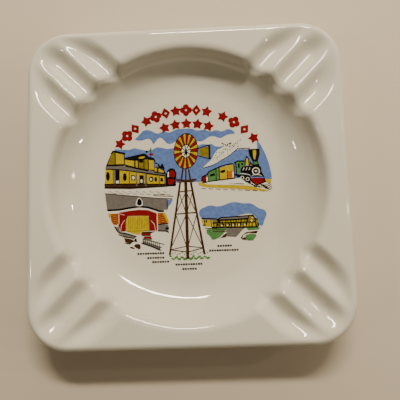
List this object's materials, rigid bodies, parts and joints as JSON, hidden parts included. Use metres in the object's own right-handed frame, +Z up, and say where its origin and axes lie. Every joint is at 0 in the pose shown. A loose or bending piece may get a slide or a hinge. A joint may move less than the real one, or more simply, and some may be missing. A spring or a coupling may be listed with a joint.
{
  "type": "souvenir plate",
  "caption": "Square glazed ceramic souvenir dish with a round well, notched corners and a printed frontier scene.",
  "frame": {"origin": "middle of the footprint, on the surface it stands on", "axes": "+Z up out of the well; +Y towards the top of the picture; +X to its right"},
  "size_m": [0.1324, 0.1324, 0.022],
  "materials": {
    "bisque": "matt, bare fired clay",
    "ivory_glaze": "glossy ivory glaze",
    "ceramic_ink_red": "fired overglaze ink, glossy",
    "ceramic_ink_yellow": "fired overglaze ink, glossy",
    "ceramic_ink_ochre": "fired overglaze ink, glossy",
    "ceramic_ink_black": "fired overglaze ink, glossy",
    "ceramic_ink_blue": "fired overglaze ink, glossy",
    "ceramic_ink_green": "fired overglaze ink, glossy",
    "ceramic_ink_brown": "fired overglaze ink, glossy",
    "ceramic_ink_grey": "fired overglaze ink, glossy",
    "ceramic_ink_orange": "fired overglaze ink, glossy"
  },
  "bodies": {
    "root": {"bisque_body": "bisque", "bisque_corner_north_east": "bisque", "bisque_corner_north_west": "bisque", "bisque_corner_south_east": "bisque", "bisque_corner_south_west": "bisque", "glaze_coat": "ivory_glaze", "caption_marks": "ceramic_ink_black", "long_house_earth": "ceramic_ink_brown", "long_house_grass": "ceramic_ink_green", "long_house_lines": "ceramic_ink_black", "long_house_path": "ceramic_ink_grey", "long_house_roof": "ceramic_ink_grey", "long_house_shaded_walls": "ceramic_ink_ochre", "long_house_sky": "ceramic_ink_blue", "long_house_yellow_walls": "ceramic_ink_yellow", "second_row_stars": "ceramic_ink_red", "smoke_flecks": "ceramic_ink_black", "stage_backcloth": "ceramic_ink_yellow", "stage_backcloth_folds": "ceramic_ink_ochre", "stage_curtains": "ceramic_ink_red", "stage_floor": "ceramic_ink_grey", "stage_ground": "ceramic_ink_brown", "stage_lattice": "ceramic_ink_brown", "stage_lines": "ceramic_ink_black", "stage_shingles": "ceramic_ink_brown", "stage_side_panels": "ceramic_ink_orange", "stage_sky": "ceramic_ink_blue", "stage_wall": "ceramic_ink_grey", "street_front_backing": "ceramic_ink_black", "street_front_base": "ceramic_ink_brown", "street_front_grey": "ceramic_ink_grey", "street_front_lines": "ceramic_ink_black", "street_front_pennant": "ceramic_ink_green", "street_front_red": "ceramic_ink_red", "street_front_shaded_walls": "ceramic_ink_ochre", "street_front_walls": "ceramic_ink_yellow", "title_ornaments": "ceramic_ink_red", "tower_braces": "ceramic_ink_brown", "tower_grass": "ceramic_ink_green", "tower_legs": "ceramic_ink_brown", "trackside_brown": "ceramic_ink_brown", "trackside_yellow": "ceramic_ink_yellow", "train_green": "ceramic_ink_green", "train_lines": "ceramic_ink_black", "train_red": "ceramic_ink_red", "train_rust_door": "ceramic_ink_orange", "train_yellow": "ceramic_ink_yellow", "wide_sky": "ceramic_ink_blue", "windmill_blades_red": "ceramic_ink_red", "windmill_blades_yellow": "ceramic_ink_yellow", "windmill_rings_and_spokes": "ceramic_ink_black", "windmill_vane": "ceramic_ink_ochre", "windmill_vane_frame": "ceramic_ink_black"}
  },
  "joints": []
}
